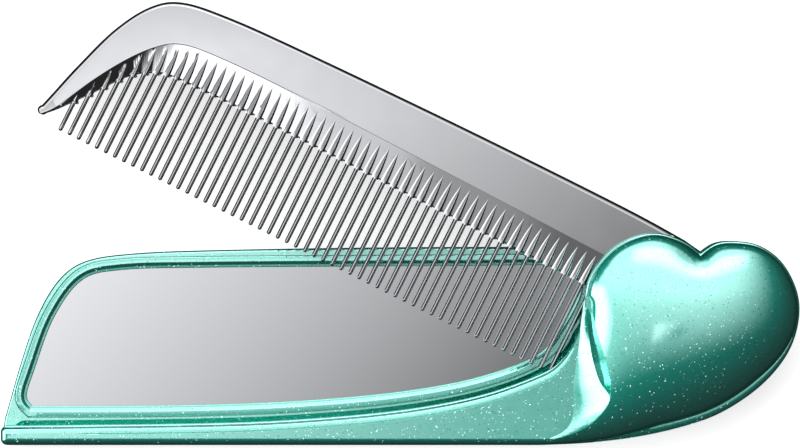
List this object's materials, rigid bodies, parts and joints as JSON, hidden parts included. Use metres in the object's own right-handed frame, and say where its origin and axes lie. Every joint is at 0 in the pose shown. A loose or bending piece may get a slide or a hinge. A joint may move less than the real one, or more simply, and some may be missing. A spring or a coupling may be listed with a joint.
{
  "type": "folding pocket comb with mirror",
  "caption": "Folding pocket comb: a toothed comb turns on a friction hinge under the heart-shaped end of a slim case and folds over the mirror framed in the case.",
  "frame": {"origin": "where the comb's hinge axis meets the plane of the back panel's outer face, which the case lies on", "axes": "+X along the case from its far end towards the heart; +Y across it, from the bar towards the closed comb's spine; +Z out of the mirror"},
  "size_m": [0.1399, 0.0776, 0.014],
  "materials": {
    "teal_lacquer": "moulded ABS, metallised and lacquered in translucent teal with fine glitter, glossy",
    "plated_comb": "moulded plastic with a bright silver plating",
    "mirror": "silvered float glass",
    "foam_tape": "double-sided foam tape",
    "steel": "zinc-plated and turned steel",
    "brass": "turned brass",
    "nylon": "natural nylon",
    "bush": "self-lubricating acetal"
  },
  "bodies": {
    "case": {"back_shell": "teal_lacquer", "back_panel": "teal_lacquer", "panel_tape": "foam_tape", "mirror_tape": "foam_tape", "mirror_glass": "mirror", "mirror_frame": "teal_lacquer", "front_cover": "teal_lacquer", "pivot_sleeve": "steel", "pivot_screw": "steel", "pivot_insert": "brass", "back_washer": "nylon", "front_washer": "nylon", "wave_washer": "steel", "cover_screw_1": "steel", "cover_screw_2": "steel", "cover_screw_3": "steel"},
    "comb": {"comb": "plated_comb", "comb_bush": "bush"}
  },
  "joints": [
    {"name": "comb_hinge", "type": "hinge", "parent": "case", "child": "comb", "pos_m": [0, 0, 0.0061], "axis": [0, 0, -1], "range_deg": [-26.4, 153.5]}
  ]
}
